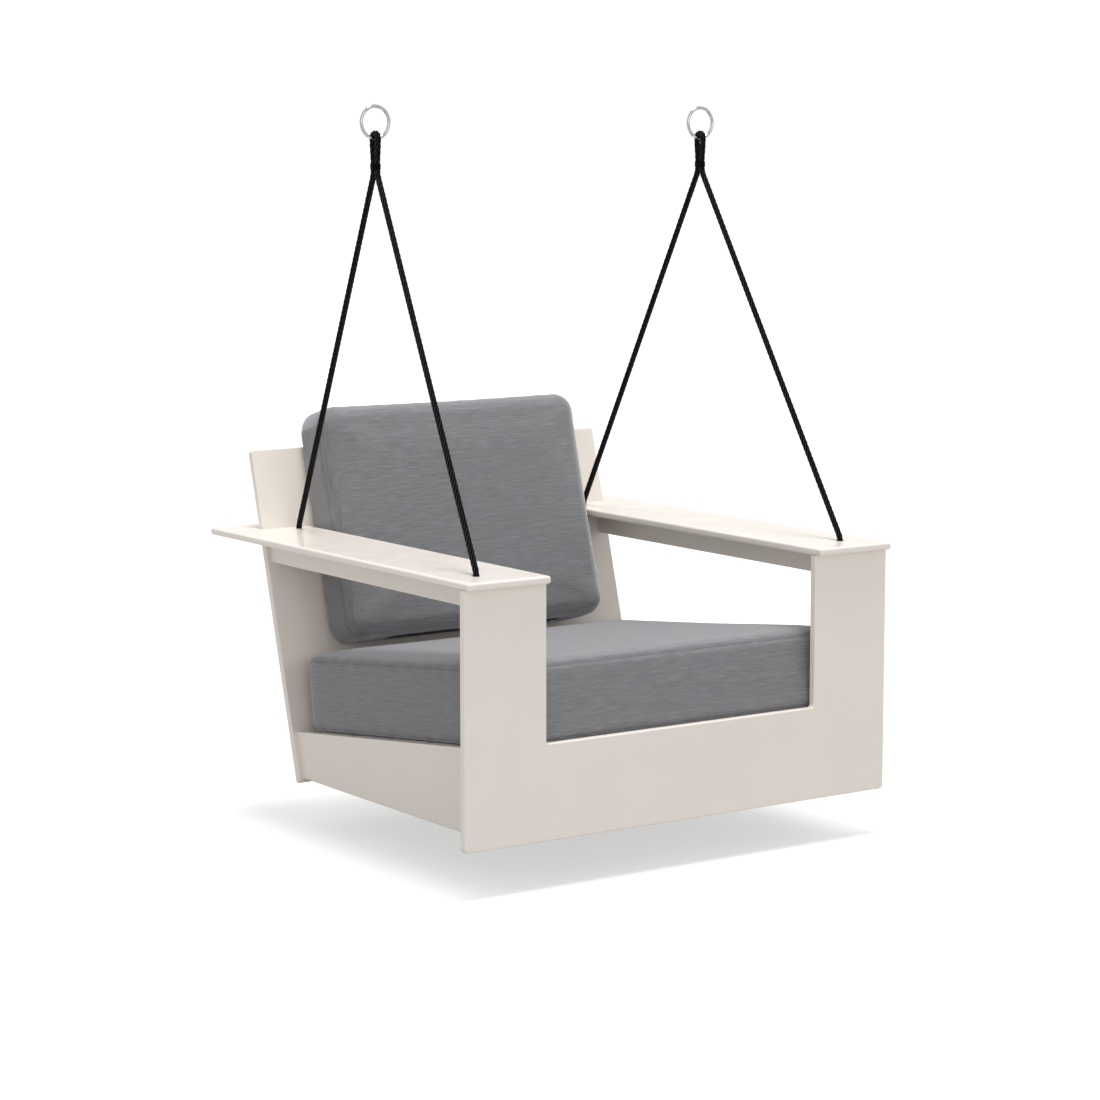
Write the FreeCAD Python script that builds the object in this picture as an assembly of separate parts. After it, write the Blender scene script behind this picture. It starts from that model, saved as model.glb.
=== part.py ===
"""A porch swing: a deep lounge seat of flat plastic sheets, hung by two ropes from two steel rings.

Lengths are in millimetres. X runs to the sitter's left and right, +Y to the back, +Z up.
The pieces are laid out from the front sheet, whose front face is Y = 0 and whose bottom edge
is Z = 0, and are moved at the end so that the origin is midway between the two hooks.
"""

import FreeCAD
import Part
import math
import os

from FreeCAD import Placement, Rotation, Vector

# Sheets.
sheet = 12.7
edge_round = 2.0
arm_edge_round = 4.2
fit_gap = 0.4
slot_rear_gap = 0.8

# Front sheet, with its two uprights.
front_width = 838.0
front_height = 406.4
upright_width = 152.0
sill_height = 154.0
front_corner_r = 7.0
notch_corner_r = 5.0

# Arm boards, which run on behind the back sheet, and the aprons under them.
arm_width = 152.0
arm_overhang = 12.7
arm_tail = 76.3
arm_corner_r = 3.0
apron_height = 43.0

# Back sheet: its front face crosses the arm tops at back_y.
back_inset = 60.0
back_y = 724.0
back_recline = 15.5
back_above_arms = 138.0
back_foot_z = -3.0
back_corner_r = 5.0

# Side rails, cleats and seat slats. The seat falls towards the back.
rail_inset = 8.2
rail_lift = 3.0
seat_slope = 6.5
seat_below_sill = 3.4
slat_count = 5
slat_gap = 23.4
slat_front_gap = 4.0
slat_rear_gap = 50.0
cleat_width = 19.0
cleat_height = 25.0
cleat_end_gap = 32.0
front_cleat_screws = (-250.0, -90.0, 90.0, 250.0)

# Corner angles that join the rails to the front sheet.
angle_leg = 30.0
angle_thickness = 3.0
angle_height = 70.0
angle_lift = 24.0

# Screws: head radius, head height, shank radius, length.
slat_screw = (4.5, 2.6, 2.25, 30.0)
cleat_screw = (4.5, 2.6, 2.25, 27.0)
angle_screw = (4.2, 2.4, 2.25, 12.0)
back_screw = (5.2, 3.0, 2.5, 50.0)
arm_screw = (4.2, 3.0, 2.5, 29.0)
arm_screw_recess = 22.0
screw_gap = 0.05

# Barrel nut and stud at the front end of each apron.
barrel_nut_r = 8.0
barrel_nut_y = 98.0
barrel_nut_z_above = 18.5
barrel_nut_recess = 0.5
stud_r = 3.0
stud_blind = 8.5

# Rings.
ring_wire_r = 2.75
ring_inner_r = 23.0
ring_inset = 91.8
ring_y = 397.0
ring_height = 1108.8

# Ropes: each goes from a knot under the arm, over its ring, and down to a second knot.
rope_r = 5.0
rope_ring_gap = 0.45
strand_gap = 0.3
front_hole_inset = 56.5
front_hole_y = 51.2
rear_hole_inset = 119.8
rear_hole_to_back = 19.5
rope_hole_r = 7.4
hole_mouth = 2.5
neck_straight = 20.05
neck_shoulder = 8.0
neck_taper = 28.0
neck_bend_r = 45.0
fork_bend_r = 20.0
leg_bend_above_arm = 3.0

# Knots, washers and the twine round each rope's neck.
knot_r = 11.2
knot_top_r = 8.0
knot_height = 20.0
rope_tail = 15.0
washer_r = 11.0
washer_thickness = 1.6
washer_gap = 0.6
whipping_height = 10.0
whipping_above_fork = 6.5
whipping_wall = 1.3
whipping_gap = 0.15

# Cushions.
seat_cushion_height = 136.0
seat_cushion_side_gap = 0.4
seat_cushion_front_gap = 1.5
seat_cushion_back_gap = 3.0
back_cushion_side_gap = 1.0
back_cushion_thickness = 105.0
back_cushion_height = 409.0
cushion_clearance = 0.5
cushion_corner_r = 36.0
seat_top_edge_r = 16.0
seat_bottom_edge_r = 6.0
back_front_edge_r = 26.0
back_rear_edge_r = 12.0
zip_margin = 90.0
zip_tape_width = 26.0
zip_tape_thickness = 1.0
zip_teeth_width = 5.0
zip_teeth_height = 1.4
zip_slider_length = 14.0

# Sizes that follow from the ones above.
half_front = front_width / 2
half_back = half_front - back_inset
arm_bottom = front_height
arm_top = front_height + sheet
arm_rear_y = back_y + arm_tail
arm_inner_x = half_front - arm_width
rail_outer_x = half_back - rail_inset
rail_inner_x = rail_outer_x - sheet
rail_mid_x = (rail_outer_x + rail_inner_x) / 2
ring_mean_r = ring_inner_r + ring_wire_r
ring_x = half_front - ring_inset
front_hole_x = half_front - front_hole_inset
rear_hole_x = half_front - rear_hole_inset
rear_hole_y = back_y - rear_hole_to_back
seat_front_z = sill_height - seat_below_sill
wire_z = ring_height - ring_mean_r
hook_z = ring_height + ring_inner_r
knot_top_z = arm_bottom - washer_thickness
tan_recline = math.tan(math.radians(back_recline))
cos_recline = math.cos(math.radians(back_recline))
back_below_arms = (arm_top - back_foot_z) / cos_recline
sin_slope = math.sin(math.radians(seat_slope))
cos_slope = math.cos(math.radians(seat_slope))

ACROSS = Vector(1, 0, 0)
BACK = Vector(0, 1, 0)
UP = Vector(0, 0, 1)

# Frames of the reclined back sheet and of the sloping seat.
back_frame = Placement(Vector(0, back_y, arm_top), Rotation(ACROSS, -back_recline))
seat_frame = Placement(Vector(0, sheet, seat_front_z), Rotation(ACROSS, -seat_slope))

pieces = {}


def back_front_y(z):
    """Y of the back sheet's front face at height z."""
    return back_y + (z - arm_top) * tan_recline


def seat_reach(above):
    """Distance down the seat from the front sheet to the back sheet, this far above the slats."""
    run = back_front_y(seat_front_z + above * cos_slope) - sheet - above * sin_slope
    return run / (cos_slope + sin_slope * tan_recline)


def box(x, y, z):
    """A box from three (low, high) pairs."""
    return Part.makeBox(x[1] - x[0], y[1] - y[0], z[1] - z[0], Vector(x[0], y[0], z[0]))


def rod(radius, start, along, length):
    """A cylinder from a point along a direction."""
    return Part.makeCylinder(radius, length, start, along)


def prism(outline, along):
    """A flat outline of points pushed along a vector."""
    return Part.Face(Part.makePolygon(outline + outline[:1])).extrude(along)


def placed(shape, frame):
    """The shape moved from a frame's own axes into the swing's."""
    moved = shape.copy()
    moved.Placement = frame.multiply(moved.Placement)
    return moved


def mirrored(shape):
    """The same piece on the other side."""
    return shape.mirror(Vector(0, 0, 0), ACROSS)


def runs_along(edge, direction):
    """True for a straight edge that is parallel to the direction."""
    if not isinstance(edge.Curve, (Part.Line, Part.LineSegment)):
        return False
    return abs(edge.tangentAt(edge.FirstParameter).dot(direction)) > 0.999


def in_plane(edge, axis, value):
    """True for an edge that lies in the plane where the axis has this value."""
    limits = edge.BoundBox
    low = (limits.XMin, limits.YMin, limits.ZMin)[axis]
    high = (limits.XMax, limits.YMax, limits.ZMax)[axis]
    return abs(low - value) < 0.01 and abs(high - value) < 0.01


def rounded(shape, radius, chosen):
    """The shape with the chosen edges rounded."""
    return shape.makeFillet(radius, [edge for edge in shape.Edges if chosen(edge)])


def screw(size, at, out):
    """A pan-head screw with a hexagon socket: its head sits at a point and faces out."""
    head_r, head_h, shank_r, length = size
    head = rounded(rod(head_r, at, out, head_h), head_h * 0.45,
                   lambda edge: edge.CenterOfMass.distanceToPoint(at + out * head_h) < 0.01
                   and len(edge.Vertexes) == 1)
    corner = (ACROSS if abs(out.x) < 0.5 else UP) * (head_r * 0.5)
    socket = [at + out * (head_h * 0.4) + Rotation(out, 60 * turn).multVec(corner)
              for turn in range(6)]
    drive = prism(socket, out * head_h)
    shank = rod(shank_r, at, out * -1, length)
    return head.cut(drive).fuse(shank).removeSplitter()


def screw_hole(size, at, out):
    """The hole that a screw's shank needs."""
    shank_r, length = size[2], size[3]
    return rod(shank_r + screw_gap, at + out * 0.5, out * -1, length + 1.0)


def drill(name, cutters):
    """Cut a list of tools out of a piece."""
    pieces[name] = pieces[name].cut(Part.makeCompound(cutters))


def add_pair(name, left):
    """Add a left piece and its mirror image on the right."""
    pieces[name + "_left"] = left
    pieces[name + "_right"] = mirrored(left)


# Front sheet.
front_outline = [
    Vector(-half_front, 0, 0), Vector(half_front, 0, 0),
    Vector(half_front, 0, front_height), Vector(half_front - upright_width, 0, front_height),
    Vector(half_front - upright_width, 0, sill_height),
    Vector(-half_front + upright_width, 0, sill_height),
    Vector(-half_front + upright_width, 0, front_height), Vector(-half_front, 0, front_height),
]
front = prism(front_outline, BACK * sheet)
front = rounded(front, front_corner_r,
                lambda edge: runs_along(edge, BACK) and in_plane(edge, 2, 0))
front = rounded(front, notch_corner_r,
                lambda edge: runs_along(edge, BACK) and in_plane(edge, 2, sill_height))
front = rounded(front, edge_round,
                lambda edge: (in_plane(edge, 1, 0) or in_plane(edge, 1, sheet))
                and not in_plane(edge, 2, front_height))
pieces["front_panel"] = front

# Back sheet, made upright in its own frame and then reclined.
back = box((-half_back, half_back), (0, sheet), (-back_below_arms, back_above_arms))
back = rounded(back, back_corner_r, lambda edge: runs_along(edge, BACK))
back = rounded(back, edge_round, lambda edge: in_plane(edge, 1, 0) or in_plane(edge, 1, sheet))
pieces["back_panel"] = placed(back, back_frame)

# Arm boards. The back sheet passes through a slot that is open at the inner edge.
arm = box((-half_front, -arm_inner_x), (-arm_overhang, arm_rear_y),
          (arm_bottom, arm_top))
arm = rounded(arm, arm_corner_r, lambda edge: runs_along(edge, UP))
arm = rounded(arm, arm_edge_round,
              lambda edge: in_plane(edge, 2, arm_bottom) or in_plane(edge, 2, arm_top))
arm_slot = box((-half_back - fit_gap, -arm_inner_x + sheet), (-fit_gap, sheet + slot_rear_gap),
               (-3 * sheet, 3 * sheet))
arm = arm.cut(placed(arm_slot, back_frame))
rope_holes = [Vector(-front_hole_x, front_hole_y, 0), Vector(-rear_hole_x, rear_hole_y, 0)]
for hole in rope_holes:
    arm = arm.cut(rod(rope_hole_r, hole + UP * (arm_bottom - 1), UP, sheet + 2))
    arm = arm.cut(Part.makeCone(rope_hole_r, rope_hole_r + hole_mouth, hole_mouth,
                                hole + UP * (arm_top - hole_mouth), UP))
add_pair("armrest", arm)

# Aprons under the arms and side rails under the seat, between the front and back sheets.
apron_bottom = arm_bottom - apron_height
apron = prism([Vector(-rail_outer_x, sheet, apron_bottom),
               Vector(-rail_outer_x, back_front_y(apron_bottom), apron_bottom),
               Vector(-rail_outer_x, back_front_y(arm_bottom), arm_bottom),
               Vector(-rail_outer_x, sheet, arm_bottom)], ACROSS * sheet)
apron = rounded(apron, edge_round,
                lambda edge: runs_along(edge, BACK) and in_plane(edge, 2, apron_bottom))
add_pair("arm_apron", apron)

rail_back_z = seat_front_z - seat_reach(0) * sin_slope
rail = prism([Vector(-rail_outer_x, sheet, rail_lift),
              Vector(-rail_outer_x, back_front_y(rail_lift), rail_lift),
              Vector(-rail_outer_x, back_front_y(rail_back_z), rail_back_z),
              Vector(-rail_outer_x, sheet, seat_front_z)], ACROSS * sheet)
rail = rounded(rail, edge_round,
               lambda edge: runs_along(edge, BACK) and in_plane(edge, 2, rail_lift))
add_pair("side_rail", rail)

# Cleats along the rails carry the slats, whose tops are level with the rails.
cleat = box((-rail_inner_x, -rail_inner_x + cleat_width),
            (cleat_end_gap, seat_reach(-sheet - cleat_height) - cleat_end_gap),
            (-sheet - cleat_height, -sheet))
add_pair("seat_cleat", placed(cleat, seat_frame))

# A cleat across the front sheet, bevelled to the seat's slope, carries the first slat.
bevel = cleat_width * sin_slope / cos_slope
front_cleat_z = seat_front_z - sheet / cos_slope
front_cleat_half = rail_inner_x - cleat_width - fit_gap
pieces["front_cleat"] = prism([
    Vector(-front_cleat_half, sheet, front_cleat_z),
    Vector(-front_cleat_half, sheet + cleat_width, front_cleat_z - bevel),
    Vector(-front_cleat_half, sheet + cleat_width, front_cleat_z - bevel - cleat_height),
    Vector(-front_cleat_half, sheet, front_cleat_z - bevel - cleat_height)],
    ACROSS * (2 * front_cleat_half))

slat_end_x = rail_inner_x - fit_gap
slat_room = seat_reach(-sheet) - slat_front_gap - slat_rear_gap
slat_width = (slat_room - (slat_count - 1) * slat_gap) / slat_count
slat_pitch = slat_width + slat_gap
for number in range(slat_count):
    start = slat_front_gap + number * slat_pitch
    slat = box((-slat_end_x, slat_end_x), (start, start + slat_width), (-sheet, 0))
    slat = rounded(slat, edge_round,
                   lambda edge: runs_along(edge, ACROSS) and in_plane(edge, 2, 0))
    pieces["seat_slat_%d" % (number + 1)] = placed(slat, seat_frame)

# Steel angles in the corners between the rails and the front sheet.
angle_inner_x = rail_inner_x - angle_leg
angle_z = (angle_lift, angle_lift + angle_height)
angle = box((-rail_inner_x, -angle_inner_x), (sheet, sheet + angle_thickness), angle_z)
angle = angle.fuse(box((-rail_inner_x, -rail_inner_x + angle_thickness),
                       (sheet, sheet + angle_leg), angle_z)).removeSplitter()
add_pair("corner_angle", angle)

# Slat screws: two through each end of each slat, heads sunk flush with its top.
slat_screws = []
for number in range(slat_count):
    for share in (0.25, 0.75):
        along = slat_front_gap + number * slat_pitch + slat_width * share
        for side in (-1, 1):
            at = Vector(side * (rail_inner_x - cleat_width / 2), along, -slat_screw[1] - 0.2)
            tool = rod(slat_screw[0] + 0.3, at, UP, slat_screw[1] + 1)
            hole = tool.fuse(screw_hole(slat_screw, at, UP))
            cleat_name = "seat_cleat_left" if side < 0 else "seat_cleat_right"
            drill("seat_slat_%d" % (number + 1), [placed(hole, seat_frame)])
            drill(cleat_name, [placed(hole, seat_frame)])
            slat_screws.append(placed(screw(slat_screw, at, UP), seat_frame))
pieces["slat_screws"] = Part.makeCompound(slat_screws)

# Cleat screws: from inside, through each side cleat into its rail and the front cleat into
# the front sheet.
cleat_screws = []
for number in range(slat_count - 1):
    along = slat_front_gap + number * slat_pitch + (slat_pitch + slat_width) / 2
    at = Vector(-rail_inner_x + cleat_width, along, -sheet - cleat_height / 2)
    hole = placed(screw_hole(cleat_screw, at, ACROSS), seat_frame)
    solid = placed(screw(cleat_screw, at, ACROSS), seat_frame)
    for name in ("seat_cleat", "side_rail"):
        drill(name + "_left", [hole])
        drill(name + "_right", [mirrored(hole)])
    cleat_screws += [solid, mirrored(solid)]
for across in front_cleat_screws:
    at = Vector(across, sheet + cleat_width, front_cleat_z - bevel - cleat_height / 2)
    for name in ("front_cleat", "front_panel"):
        drill(name, [screw_hole(cleat_screw, at, BACK)])
    cleat_screws.append(screw(cleat_screw, at, BACK))
pieces["cleat_screws"] = Part.makeCompound(cleat_screws)

# Angle screws: two into the front sheet and two into the rail on each side.
angle_screws = []
screw_offset = (angle_leg + angle_thickness) / 2
for share in (0.25, 0.75):
    height = angle_lift + angle_height * share
    into_front = Vector(-rail_inner_x + screw_offset, sheet + angle_thickness, height)
    into_rail = Vector(-rail_inner_x + angle_thickness, sheet + screw_offset, height)
    for at, out, name in ((into_front, BACK, "front_panel"), (into_rail, ACROSS, "side_rail")):
        hole = screw_hole(angle_screw, at, out)
        solid = screw(angle_screw, at, out)
        drill("corner_angle_left", [hole])
        drill("corner_angle_right", [mirrored(hole)])
        if name == "front_panel":
            drill(name, [hole, mirrored(hole)])
        else:
            drill(name + "_left", [hole])
            drill(name + "_right", [mirrored(hole)])
        angle_screws += [solid, mirrored(solid)]
pieces["angle_screws"] = Part.makeCompound(angle_screws)

# Back screws: from behind, through the back sheet into the ends of the rails and aprons.
back_screws = []
rail_end = rail_back_z - rail_lift
screw_heights = [("side_rail", rail_lift + rail_end * 0.24),
                 ("side_rail", rail_lift + rail_end * 0.64),
                 ("arm_apron", apron_bottom + apron_height * 0.24)]
for name, height in screw_heights:
    up_back = (height - arm_top) / cos_recline
    at = Vector(-rail_mid_x, sheet, up_back)
    hole = placed(screw_hole(back_screw, at, BACK), back_frame)
    solid = placed(screw(back_screw, at, BACK), back_frame)
    drill("back_panel", [hole, mirrored(hole)])
    drill(name + "_left", [hole])
    drill(name + "_right", [mirrored(hole)])
    back_screws += [solid, mirrored(solid)]
pieces["back_screws"] = Part.makeCompound(back_screws)

# Arm screws: up through deep recesses in the aprons' bottom edges into the arms.
arm_screws = []
for share in (0.24, 0.52, 0.8):
    at = Vector(-rail_mid_x, back_front_y(arm_bottom) * share, apron_bottom + arm_screw_recess)
    recess = rod(arm_screw[0] + 0.3, at, UP * -1, arm_screw_recess + 1)
    hole = recess.fuse(screw_hole(arm_screw, at, UP * -1))
    solid = screw(arm_screw, at, UP * -1)
    for name in ("arm_apron", "armrest"):
        drill(name + "_left", [hole])
        drill(name + "_right", [mirrored(hole)])
    arm_screws += [solid, mirrored(solid)]
pieces["arm_screws"] = Part.makeCompound(arm_screws)

# A barrel nut across each apron's front end takes a stud from a blind hole in the front sheet.
nut_z = apron_bottom + barrel_nut_z_above
nut_start = Vector(-rail_outer_x + barrel_nut_recess, barrel_nut_y, nut_z)
nut = rod(barrel_nut_r, nut_start, ACROSS, sheet - 2 * barrel_nut_recess)
nut_hole = rod(barrel_nut_r + screw_gap, Vector(-rail_outer_x - 1, barrel_nut_y, nut_z),
               ACROSS, sheet + 2)
stud_start = Vector(-rail_mid_x, sheet - stud_blind, nut_z)
stud = rod(stud_r, stud_start, BACK, barrel_nut_y + barrel_nut_r / 2 - stud_start.y)
stud_hole = rod(stud_r + screw_gap, stud_start - BACK * 0.5, BACK,
                barrel_nut_y + barrel_nut_r - stud_start.y + 1)
drill("arm_apron_left", [nut_hole, stud_hole])
drill("arm_apron_right", [mirrored(nut_hole), mirrored(stud_hole)])
drill("front_panel", [stud_hole, mirrored(stud_hole)])
nut = nut.cut(stud_hole)
pieces["barrel_nuts"] = Part.makeCompound([nut, mirrored(nut)])
pieces["apron_studs"] = Part.makeCompound([stud, mirrored(stud)])

# Rings: round wire, each standing in the plane of the front sheet.
ring = Part.makeTorus(ring_mean_r, ring_wire_r, Vector(-ring_x, ring_y, ring_height), BACK)
add_pair("ring", ring)


def rope_path(points, radii):
    """Straight runs joined by arcs that are tangent to them, one radius for each inner point."""
    edges, reached = [], points[0]
    for before, corner, after, radius in zip(points, points[1:], points[2:], radii):
        come = (corner - before).normalize()
        go = (after - corner).normalize()
        half_turn = come.getAngle(go) / 2
        trim = radius * math.tan(half_turn)
        start, end = corner - come * trim, corner + go * trim
        middle = corner + (go - come).normalize() * (radius / math.cos(half_turn) - radius)
        if reached.distanceToPoint(start) > 0.001:
            edges.append(Part.LineSegment(reached, start).toShape())
        edges.append(Part.Arc(start, middle, end).toShape())
        reached = end
    edges.append(Part.LineSegment(reached, points[-1]).toShape())
    return edges


# The left rope's route, from the front knot over the ring's wire to the rear knot.
bight_r = ring_wire_r + rope_r + rope_ring_gap
neck_half = rope_r + strand_gap / 2
taper_z = wire_z - neck_shoulder
fork_z = taper_z - neck_taper - neck_straight


def rope_half(hole_x, hole_y, side):
    """Points from a knot up to the ring, on the front (-1) or rear (+1) side of the wire."""
    return [Vector(-hole_x, hole_y, knot_top_z),
            Vector(-hole_x, hole_y, arm_top + leg_bend_above_arm),
            Vector(-ring_x, ring_y + side * neck_half, fork_z),
            Vector(-ring_x, ring_y + side * neck_half, taper_z - neck_taper),
            Vector(-ring_x, ring_y + side * bight_r, taper_z),
            Vector(-ring_x, ring_y + side * bight_r, wire_z + bight_r)]


def arm_bend_r(points):
    """The largest arc that the short run through the arm allows."""
    turn = (points[1] - points[0]).getAngle(points[2] - points[1])
    return 0.45 * (points[1] - points[0]).Length / math.tan(turn / 2)


front_half = rope_half(front_hole_x, front_hole_y, -1)
rear_half = rope_half(rear_hole_x, rear_hole_y, 1)
rope_points = front_half + rear_half[::-1]
rope_radii = [arm_bend_r(front_half), fork_bend_r, neck_bend_r, neck_bend_r, bight_r,
              bight_r, neck_bend_r, neck_bend_r, fork_bend_r, arm_bend_r(rear_half)]
rope_wire = Part.Wire(rope_path(rope_points, rope_radii))
rope_section = Part.Wire(Part.Circle(rope_points[0], UP, rope_r).toShape())
rope = rope_wire.makePipeShell([rope_section], True, False)
add_pair("rope", rope)
print("rope length %.1f mm" % rope_wire.Length)
print("rope volume over section times length %.4f"
      % (abs(rope.Volume) / (math.pi * rope_r ** 2 * rope_wire.Length)))
print("rope bend radii", ["%.1f" % radius for radius in rope_radii])

# Stopper knots with their short tails, washers above them, and twine round each rope's neck.
knot_profile = [
    Part.LineSegment(Vector(0, 0, 0), Vector(knot_top_r, 0, 0)).toShape(),
    Part.Arc(Vector(knot_top_r, 0, 0), Vector(knot_r, 0, -knot_height * 0.48),
             Vector(rope_r + 1.0, 0, -knot_height)).toShape(),
    Part.LineSegment(Vector(rope_r + 1.0, 0, -knot_height),
                     Vector(rope_r, 0, -knot_height)).toShape(),
    Part.LineSegment(Vector(rope_r, 0, -knot_height),
                     Vector(rope_r, 0, -knot_height - rope_tail)).toShape(),
    Part.LineSegment(Vector(rope_r, 0, -knot_height - rope_tail),
                     Vector(0, 0, -knot_height - rope_tail)).toShape(),
    Part.LineSegment(Vector(0, 0, -knot_height - rope_tail), Vector(0, 0, 0)).toShape(),
]
knot = Part.Face(Part.Wire(knot_profile)).revolve(Vector(0, 0, 0), UP, 360)
washer = rod(washer_r, Vector(0, 0, 0), UP, washer_thickness)
washer = washer.cut(rod(rope_r + washer_gap, Vector(0, 0, -1), UP, washer_thickness + 2))
for place, hole in zip(("front", "rear"), rope_holes):
    at = Placement(hole + UP * knot_top_z, Rotation())
    add_pair("knot_" + place, placed(knot, at))
    add_pair("knot_washer_" + place, placed(washer, at))


def racetrack(radius, height):
    """A round-ended block that holds both strands of a neck."""
    start = Vector(-ring_x, ring_y - neck_half, fork_z)
    ends = [rod(radius, start + BACK * offset, UP, height) for offset in (0, 2 * neck_half)]
    middle = box((-ring_x - radius, -ring_x + radius),
                 (ring_y - neck_half, ring_y + neck_half), (fork_z, fork_z + height))
    return ends[0].fuse([ends[1], middle]).removeSplitter()


whipping = racetrack(rope_r + whipping_gap + whipping_wall, whipping_height)
whipping = whipping.cut(racetrack(rope_r + whipping_gap, whipping_height))
whipping.translate(UP * whipping_above_fork)
add_pair("rope_whipping", whipping)


# Seat cushion on the slats, with its zip along the rear face.
seat_end = seat_reach(0) - seat_cushion_back_gap
seat_half = rail_inner_x + seat_cushion_side_gap
seat_block = box((-seat_half, seat_half), (seat_cushion_front_gap, seat_end),
                 (0, seat_cushion_height))
seat_block = rounded(seat_block, cushion_corner_r, lambda edge: runs_along(edge, UP))
seat_block = rounded(seat_block, seat_bottom_edge_r, lambda edge: in_plane(edge, 2, 0))
seat_block = rounded(seat_block, seat_top_edge_r,
                     lambda edge: in_plane(edge, 2, seat_cushion_height))


def zip_fastener(x_half, tape_low, outward):
    """The pocket for a zip in a face, and its tape, teeth and slider."""
    across_tape = outward.cross(ACROSS)
    tape_outline = [tape_low + ACROSS * -x_half, tape_low + ACROSS * x_half,
                    tape_low + ACROSS * x_half + across_tape * zip_tape_width,
                    tape_low + ACROSS * -x_half + across_tape * zip_tape_width]
    tape = prism(tape_outline, outward * -zip_tape_thickness)
    pocket = prism([point + outward for point in tape_outline],
                   outward * (-zip_tape_thickness - 1))
    teeth_low = tape_low + across_tape * ((zip_tape_width - zip_teeth_width) / 2)
    teeth_end = x_half - zip_slider_length - 2
    teeth = prism([teeth_low + ACROSS * -x_half, teeth_low + ACROSS * teeth_end,
                   teeth_low + ACROSS * teeth_end + across_tape * zip_teeth_width,
                   teeth_low + ACROSS * -x_half + across_tape * zip_teeth_width],
                  outward * zip_teeth_height)
    slider_low = teeth_low + ACROSS * (teeth_end + 0.3) - across_tape * 1.5
    slider = prism([slider_low, slider_low + ACROSS * zip_slider_length,
                    slider_low + ACROSS * zip_slider_length
                    + across_tape * (zip_teeth_width + 3.0),
                    slider_low + across_tape * (zip_teeth_width + 3.0)],
                   outward * (zip_teeth_height + 0.8))
    return pocket, Part.makeCompound([tape, teeth, slider])


seat_pocket, seat_zip = zip_fastener(seat_half - zip_margin,
                                     Vector(0, seat_end, (seat_cushion_height + zip_tape_width) / 2),
                                     BACK)
seat_block = seat_block.cut(seat_pocket)
pieces["seat_cushion"] = placed(seat_block, seat_frame)
pieces["seat_cushion_zip"] = placed(seat_zip, seat_frame)

# Back cushion between the arms, leaning on the back sheet, its lower edge on the seat cushion.
seat_top_z = seat_front_z + seat_cushion_height * cos_slope
seat_top_run = seat_reach(seat_cushion_height)
rest_z = seat_top_z - seat_top_run * sin_slope
cushion_low = (rest_z - arm_top) / cos_recline + cushion_clearance
back_half = arm_inner_x - back_cushion_side_gap
back_block = box((-back_half, back_half),
                 (-cushion_clearance - back_cushion_thickness, -cushion_clearance),
                 (cushion_low, cushion_low + back_cushion_height))
back_block = rounded(back_block, cushion_corner_r, lambda edge: runs_along(edge, BACK))
back_block = rounded(back_block, back_rear_edge_r,
                     lambda edge: in_plane(edge, 1, -cushion_clearance))
back_block = rounded(back_block, back_front_edge_r,
                     lambda edge: in_plane(edge, 1, -cushion_clearance - back_cushion_thickness))
zip_y = -cushion_clearance - (back_cushion_thickness + zip_tape_width) / 2
back_pocket, back_zip = zip_fastener(back_half - zip_margin, Vector(0, zip_y, cushion_low), UP * -1)
back_block = back_block.cut(back_pocket)
pieces["back_cushion"] = placed(back_block, back_frame)
pieces["back_cushion_zip"] = placed(back_zip, back_frame)

# Move the origin to the middle of the line between the hooks, and write every piece.
to_origin = Vector(0, -ring_y, -hook_z)
os.makedirs("parts", exist_ok=True)
for name, shape in pieces.items():
    moved = shape.copy()
    moved.translate(to_origin)
    moved.exportStep("parts/" + name + ".step")
print("pieces", len(pieces))
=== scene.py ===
"""A porch swing's looks: plastic sheets, two box cushions and two laid ropes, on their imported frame."""

import math

import bmesh
import bpy
import numpy as np
from mathutils import Matrix, Vector
from mathutils.bvhtree import BVHTree
from mathutils.kdtree import KDTree


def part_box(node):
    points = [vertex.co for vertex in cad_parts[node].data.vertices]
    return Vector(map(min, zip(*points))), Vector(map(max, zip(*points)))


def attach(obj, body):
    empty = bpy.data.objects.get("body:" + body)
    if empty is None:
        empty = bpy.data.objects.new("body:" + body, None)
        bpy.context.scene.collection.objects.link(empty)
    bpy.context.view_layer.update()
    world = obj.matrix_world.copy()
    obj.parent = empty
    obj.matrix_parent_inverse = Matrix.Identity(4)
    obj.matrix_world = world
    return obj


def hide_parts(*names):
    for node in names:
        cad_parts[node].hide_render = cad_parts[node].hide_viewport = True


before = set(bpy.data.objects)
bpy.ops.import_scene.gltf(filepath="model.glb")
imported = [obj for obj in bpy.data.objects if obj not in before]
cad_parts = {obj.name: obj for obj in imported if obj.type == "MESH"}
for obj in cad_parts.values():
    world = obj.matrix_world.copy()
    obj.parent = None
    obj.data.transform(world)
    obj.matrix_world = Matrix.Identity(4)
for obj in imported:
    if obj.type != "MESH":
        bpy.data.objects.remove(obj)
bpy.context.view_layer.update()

scene = bpy.context.scene
MM = 0.001

# Camera.
camera_data = bpy.data.cameras.new("camera")
camera_data.lens = 100.23
camera_data.sensor_width = 36.0
camera_data.clip_end = 100.0
camera = bpy.data.objects.new("camera", camera_data)
camera.location = (-2.9095, -4.2341, -0.0374)
camera.rotation_euler = (math.radians(82.217), 0.0, math.radians(-34.615))
scene.collection.objects.link(camera)
scene.camera = camera

# Frames of the sloping seat and of the reclined back, as the sheets stand.
SEAT = Matrix.Translation((0, -384.3 * MM, -981.2 * MM)) @ Matrix.Rotation(math.radians(-6.5), 4, "X")
BACK = Matrix.Translation((0, 327.0 * MM, -712.7 * MM)) @ Matrix.Rotation(math.radians(-15.5), 4, "X")


def linear(code):
    """A hex colour as linear red, green, blue and alpha."""
    parts = [int(code[i:i + 2], 16) / 255 for i in (1, 3, 5)]
    return tuple(p / 12.92 if p <= 0.04045 else ((p + 0.055) / 1.055) ** 2.4 for p in parts) + (1.0,)


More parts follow.
